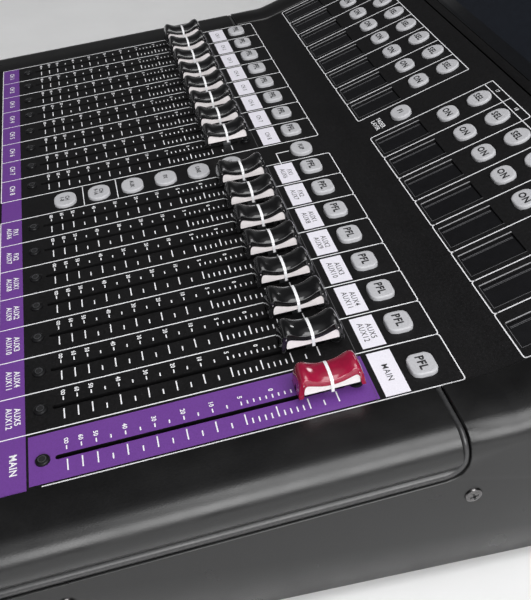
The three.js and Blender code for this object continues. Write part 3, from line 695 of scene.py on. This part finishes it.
def bead_line(offset, inset):
    """One line along the groove: over the shoulder, round the lower corner and to the middle of the front."""
    back = REST_BACK + offset
    out = EDGE + SIDE - inset
    line = [(EDGE + REST_GAP, back, REST_TOP - inset)]
    angles = [math.radians(i * 11.25) for i in range(9)]
    reach = SHOULDER - inset
    for a in angles:
        x, z = EDGE + SIDE - SHOULDER + reach * math.sin(a), REST_TOP - SHOULDER + reach * math.cos(a)
        line.append((x, back, z))
    reach = CORNER_LOW + offset
    for a in reversed(angles):
        y = REST_BACK - CORNER_LOW + reach * math.sin(a)
        line.append((out, y, REST_LOW + CORNER_LOW - offset * 0.45 - reach * math.cos(a)))
    low = line[-1][2]
    reach = PLAN - inset
    for a in angles:
        x, y = EDGE + SIDE - PLAN + reach * math.cos(a), REST_FRONT + PLAN - reach * math.sin(a)
        line.append((x, y, low))
    line.append((0.0, REST_FRONT + inset, low))
    return line


highlight_strip = Piece()
rows = [bead_line(offset, inset) for offset, inset in HIGHLIGHT_STRIP_ROWS]
count = len(rows[0])
for mirror in (1, -1):
    points = [(mirror * x, y, z) for row in rows for x, y, z in row]
    faces = []
    for start in range(0, count * (len(rows) - 1), count):
        for a in range(start, start + count - 1):
            faces.append((a, a + 1, a + count + 1, a + count)[::mirror])
    highlight_strip.add(points, faces, DECK, GROOVE_HIGHLIGHT_GREY)
highlight_strip.build("groove_highlight_strip", "console", angle=60)

# ---------------------------------------------------------------- palm rest
ROLL = 9.5  # radius of the visible shoulder
INNER_FRONT = -128.3  # the rest's inner edge along the front
# the section: inset from the outer face and height; None stands for the inner edge
REST = [(None, -1.3), (None, 0.55), (22.9, REST_TOP), (18.0, REST_TOP), (12.0, REST_TOP)]
for degrees in range(0, 91, 9):
    a = math.radians(degrees)
    REST.append((ROLL * (1 - math.sin(a)), REST_TOP - ROLL * (1 - math.cos(a))))
REST += [(0.05, -9.7), (0.2, -10.9), (0.5, -12.2), (0.95, -13.4), (1.5, -14.4), (2.0, -14.9), (2.6, REST_LOW),
         (3.6, REST_LOW), (3.0, -12.2), (2.5, -8.6), (4.6, -3.8), (9.5, -1.3), (18.0, -1.3)]


def rest_point(inset, z, y=None, turn=0.0):
    """A point of the palm rest: on the side at y, or round the front corner at an angle."""
    if y is not None:
        if z < REST_LOW + CORNER_LOW:
            drop = z - REST_LOW - CORNER_LOW
            y = min(y, REST_BACK - CORNER_LOW + math.sqrt(CORNER_LOW ** 2 - drop ** 2))
        return (EDGE + (REST_GAP if inset is None else SIDE - inset), y, z)
    if inset is None:
        return (EDGE + REST_GAP, INNER_FRONT, z)
    reach = PLAN - inset
    x, y = EDGE + SIDE - PLAN + reach * math.cos(turn), REST_FRONT + PLAN - reach * math.sin(turn)
    return (max(x, EDGE + REST_GAP), min(y, INNER_FRONT), z)


half_rest = []
for y in (REST_BACK, 20.0, -20.0, -80.0, -120.0):
    half_rest.append([rest_point(inset, z, y=y) for inset, z in REST])
for i in range(13):
    half_rest.append([rest_point(inset, z, turn=math.radians(i * 7.5)) for inset, z in REST])
other_half = [[(-x, y, z) for x, y, z in ring] for ring in reversed(half_rest)]
rest = Piece()
rest.loft([ring[::-1] for ring in half_rest + other_half], DECK, CASE)
rest.build("palm_rest_shell", "console", ["palm_rest"], angle=40)


# ---------------------------------------------------------------- encoders and wheel
ENCODER_COLUMNS, ENCODER_ROWS = (60, 96), (20, 50, 80)
ENCODER_RADIUS, ENCODER_HEIGHT = 8.0, 14.2
JOG = (146, 58)  # centre of the wheel
RIB_DEPTH = 0.35


def knob(name, node, x, y, radius, height, ribs, dimple):
    """A ribbed knob with a hollow top, and a finger dimple or a white pointer."""
    made = Piece()
    place = SCREEN @ at(x, y)
    steps = ribs * 4
    profile = [(0.9, radius, 0), (1.6, radius, 0), (1.8, radius - 0.25, RIB_DEPTH),
               (height - 1.8, radius * 0.95, RIB_DEPTH), (height - 1.5, radius * 0.94, 0),
               (height - 0.6, radius * 0.91, 0), (height, radius * 0.84, 0),
               (height - 0.25, radius * 0.6, 0), (height - 0.3, radius * 0.3, 0)]
    rings = []
    for z, r, depth in profile:
        ring = []
        for i in range(steps):
            angle = 2 * math.pi * i / steps
            out = r - (depth if i % 4 in (0, 1) else 0)
            ring.append((out * math.cos(angle), out * math.sin(angle), z))
        rings.append(ring)
    made.loft(rings, place, KNOB)
    if dimple:
        bowl = []
        for r, z in ((4.6, height - 0.1), (4.2, height + 0.25), (3.4, height + 0.1), (2.0, height - 0.1)):
            bowl.append([(px, py, z) for px, py in circle(radius * 0.5, 0, r, 24)])
        made.loft(bowl, place, METAL)
    else:
        pointer = rectangle(-0.45, 0.45, radius * 0.25, radius * 0.8)
        made.slab(pointer, height - 0.4, height + 0.02, place, WHITE)
    made.build(name, node + "_knob", [node])


marks = Piece()
number = 0
for x in ENCODER_COLUMNS:
    for y in ENCODER_ROWS:
        number += 1
        node = f"encoder_{number}"
        knob(f"encoder_knob_{number}", node, x, y, ENCODER_RADIUS, ENCODER_HEIGHT, 20, False)
        for i in range(11):
            angle = math.radians(225 - 27 * i)
            spin = SCREEN @ at(x, y) @ Matrix.Rotation(angle, 4, "Z")
            marks.slab(rectangle(9.6, 11.4, -0.25, 0.25), 0.0, OVER, spin, WHITE)
        marks.text(str(number), x, y - 11.6, 3.2, OVER, SCREEN, WHITE)
knob("jog_wheel_disc", "jog_wheel", *JOG, 22.0, 8.0, 48, True)
ring = circle(*JOG, 24.4, 48)
stroke(marks, ring + ring[:1], 0.4, 0.0, OVER, SCREEN, WHITE)
marks.text("SELECT", JOG[0], 28.5, 3.6, OVER, SCREEN, WHITE)
marks.build("screen_printing", "console")

display = Piece()
display.slab(rounded(-58, 51, 154, 78, 1.0, 3), -0.4, -0.36, SCREEN, DISPLAY)
display.build("display_panel", "console")

# ---------------------------------------------------------------- rear connectors
SOCKET_X, SOCKET_PITCH = 58, 26  # middle of the connector blocks and pitch of their columns
INPUT_ROWS, OUTPUT_ROW = (124.5, 95.5), 46
INPUT_RING = ((9.55, 0.8), (9.55, 2.3), (9.25, 2.55), (8.5, 2.55), (8.25, 2.3), (8.2, 1.9))  # radius, height
OUTPUT_LIP = ((9.6, 0.6), (9.6, 1.5), (9.2, 1.8), (8.1, 1.8), (7.95, 0.2), (7.95, -10.0))
CONTACT_REACH = 3.6
PANEL_INK, BLOCK_INK = 0.05, 0.86  # heights of the lettering on the rear panel and on the blocks
INLET_X, INLET_Z = -140, 60
rear = Piece()
legends = Piece()


def turned_ring(profile, place):
    """A ring turned from a profile of (radius, height) rows."""
    rings = [[(px, py, h) for px, py in circle(0, 0, r, 40)] for r, h in profile]
    rear.loft(rings, place, METAL, ends=False)


def contacts(angles):
    """The places of the three contacts of one connector."""
    reach = CONTACT_REACH
    return [(reach * math.cos(math.radians(a)), reach * math.sin(math.radians(a))) for a in angles]


for column in range(8):
    x = SOCKET_X - (column - 3.5) * SOCKET_PITCH
    for row, z in enumerate(INPUT_ROWS):
        place = REAR @ at(x, z)
        turned_ring(INPUT_RING, place)
        rear.slab(circle(0, 0, 8.3, 40), 1.9, 2.12, place, KNOB)
        for px, py in contacts((90, 210, 330)):
            rear.slab(circle(px, py, 1.6, 20), 2.1, 2.2, place, METAL)
            # dark disc in each contact: painted shade in the contact's hole
            rear.slab(circle(px, py, 1.15, 20), 2.1, 2.22, place, INK_AND_RECESS_SHADE)
        rear.slab(rounded(0, 7.6, 4.6, 1.8, 0.7, 3), 2.1, 2.5, place, METAL)
        for dx, dy in ((-10.2, 11.2), (10.2, -11.2)):
            screw(rear, place @ at(dx, dy, 0.8), 1.5, 0.7, SCREW_BLACK)
        legends.text(str(8 * row + 8 - column), x + 10.4, z - 8.0, 3.4, BLOCK_INK, REAR, INK_AND_RECESS_SHADE)
    place = REAR @ at(x, OUTPUT_ROW)
    turned_ring(OUTPUT_LIP, place)
    rear.slab(circle(0, 0, 7.9, 40), -10.9, -10.4, place, KNOB)
    for px, py in contacts((30, 150, 270)):
        rear.slab(circle(px, py, 1.1, 12), -10.9, -2.6, place, METAL)
    legends.text(str(8 - column), x + 10.6, 36.0, 3.4, BLOCK_INK, REAR, INK_AND_RECESS_SHADE)
legends.text("INPUTS", SOCKET_X, 145.5, 5.0, PANEL_INK, REAR, WHITE)
legends.text("OUTPUTS", SOCKET_X, 66.5, 5.0, PANEL_INK, REAR, WHITE)
legends.text("NETWORK    USB", -79, 61.0, 3.6, PANEL_INK, REAR, WHITE)
legends.text("POWER", INLET_X, 88.5, 4.4, PANEL_INK, REAR, WHITE)
for x in (-175, -90, 0, 90, 175):
    for z in (15, 168):
        screw(rear, REAR @ at(x, z), 2.8, 1.2, SCREW_BLACK)
for sx in (-1, 1):
    for sz in (-1, 1):
        place = REAR @ at(INLET_X + sx * 21.5, INLET_Z + sz * 20.5, 0.8)
        screw(rear, place, 2.0, 0.8, SCREW_BLACK)
rocker = Piece()
tip = at(-INLET_X, REAR_Y - 4, 73) @ turn_x(8) @ at(0, 4)
for words, up in (("I", 1), ("O", -1)):
    face = tip @ at(0, 1.8, 3.1 * up) @ turn_x(14.5 * up)
    rocker.text(words, 0, 0, 4.2, 0.06, face @ Matrix.Rotation(math.pi, 4, "Z") @ turn_x(90), WHITE)
rocker.build("rocker_legend", "power_rocker_switch")
rear.build("connector_faces", "console")
legends.build("rear_legends", "console")

# ---------------------------------------------------------------- CAD solids that stay
FINISH = {
    "panel_paint": PANEL, "case_plastic": CASE, "case_paint": CHASSIS, "screen_glass": GLASS,
    "smoke_lens": LENS, "zinc_steel": METAL, "board": BOARD, "foot_rubber": FOOT, "cap_black": CAP_BLACK,
    "cap_red": CAP_RED, "knob_plastic": KNOB, "key_silicone": SILICONE,
}
slots = {s["node"]: s["material_slot"] for s in frame["record"]["subparts"]}
# widths of the soft edges in millimetres; every other node keeps crisp edges and flat faces
SOFT_EDGES = {"palm_rest": 0.35, "side_cheek_left": 0.35, "side_cheek_right": 0.35, "front_apron": 0.3,
              "screen_housing": 0.25, "rear_panel": 0.2, "touch_screen": 0.3, "mains_inlet": 0.3,
              "power_rocker": 0.4}
SOFT_ANGLE, CRISP_ANGLE = math.radians(40), math.radians(32)
for name, node in frame["nodes"].items():
    for material_slot in node.material_slots:
        material_slot.material = TRAY if name.startswith("fader_tray") else FINISH[slots[name]]
    weld = node.modifiers.new("weld", "WELD")
    weld.merge_threshold = 0.00002
    for polygon in node.data.polygons:
        polygon.use_smooth = True
    if name in SOFT_EDGES:
        bevel = node.modifiers.new("edges", "BEVEL")
        bevel.width = SOFT_EDGES[name] / 1000
        bevel.segments = 2
        bevel.limit_method = "ANGLE"
        bevel.angle_limit = SOFT_ANGLE
        bevel.harden_normals = True
    else:
        split = node.modifiers.new("corners", "EDGE_SPLIT")
        split.split_angle = CRISP_ANGLE
        node.modifiers.new("shading", "WEIGHTED_NORMAL").keep_sharp = False

# ---------------------------------------------------------------- floor, light and camera
bpy.ops.mesh.primitive_plane_add(size=24.0, location=(0, 0, 0))
floor = bpy.context.object
floor.name = "floor"
floor.data.materials.append(FLOOR)
floor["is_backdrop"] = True


def area_light(name, location, target, width, height, power):
    """A rectangular light that faces its target, in metres and watts."""
    data = bpy.data.lights.new(name, "AREA")
    data.shape = "RECTANGLE"
    data.size = width
    data.size_y = height
    data.energy = power
    made = bpy.data.objects.new(name, data)
    made.location = location
    made.rotation_euler = (Vector(target) - Vector(location)).to_track_quat("-Z", "Y").to_euler()
    scene.collection.objects.link(made)


area_light("key", (1.5, 0.0, 0.95), (0.1, -0.05, 0.1), 1.6, 0.9, 27)
area_light("top", (0.6, 0.15, 1.6), (0.05, 0, 0.1), 1.0, 1.1, 14)
area_light("back", (-1.3, 1.5, 0.8), (0, 0.05, 0.1), 0.4, 0.4, 4)
# grey levels of the sky by direction, from straight down at 0 to straight up at 1
SKY = [(0.0, 0.26), (0.2, 0.20), (0.38, 0.06), (0.74, 0.06), (0.9, 0.40), (1.0, 0.6)]
world = bpy.data.worlds.new("studio")
world.use_nodes = True
sky, sky_links = world.node_tree.nodes, world.node_tree.links
split = sky.new("ShaderNodeSeparateXYZ")
sky_links.new(sky.new("ShaderNodeTexCoord").outputs["Generated"], split.inputs[0])
ramp = sky.new("ShaderNodeValToRGB")
sky_links.new(split.outputs["Z"], ramp.inputs["Fac"])
ramp.color_ramp.elements[0].position = 0.0
ramp.color_ramp.elements[1].position = 1.0
for position, _ in SKY[1:-1]:
    ramp.color_ramp.elements.new(position)
for element, (_, level) in zip(ramp.color_ramp.elements, SKY):
    element.color = (level * 0.98, level * 0.985, level, 1)
sky_links.new(ramp.outputs["Color"], sky["Background"].inputs["Color"])
scene.world = world
scene.view_settings.view_transform = "Standard"

# the camera solved from the photograph, in the frame of the deck
VIEW_POINT = Vector((200.93 + EDGE, -51.55, 228.44))
VIEW_FORWARD = Vector((-0.76230, 0.10993, -0.63782))
VIEW_UPWARD = Vector((-0.60515, 0.22845, 0.76263))
IMAGE_HEIGHT, FOCAL_PIXELS, SHIFT_PIXELS = 600, 843.5, -2
SENSOR = 36  # millimetres along the image's longer side
camera = bpy.data.objects.new("camera", bpy.data.cameras.new("camera"))
scene.collection.objects.link(camera)
turn = DECK.to_3x3()
forward = (turn @ VIEW_FORWARD).normalized()
upward = turn @ VIEW_UPWARD
across = forward.cross(upward).normalized()
upward = across.cross(forward)
pose = Matrix((across, upward, -forward)).transposed().to_4x4()
pose.translation = (DECK @ VIEW_POINT) * METRES
camera.matrix_world = pose
camera.data.sensor_width = SENSOR
camera.data.lens = SENSOR * FOCAL_PIXELS / IMAGE_HEIGHT
camera.data.shift_y = SHIFT_PIXELS / IMAGE_HEIGHT
camera.data.clip_start = 0.01
scene.camera = camera

low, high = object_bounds()
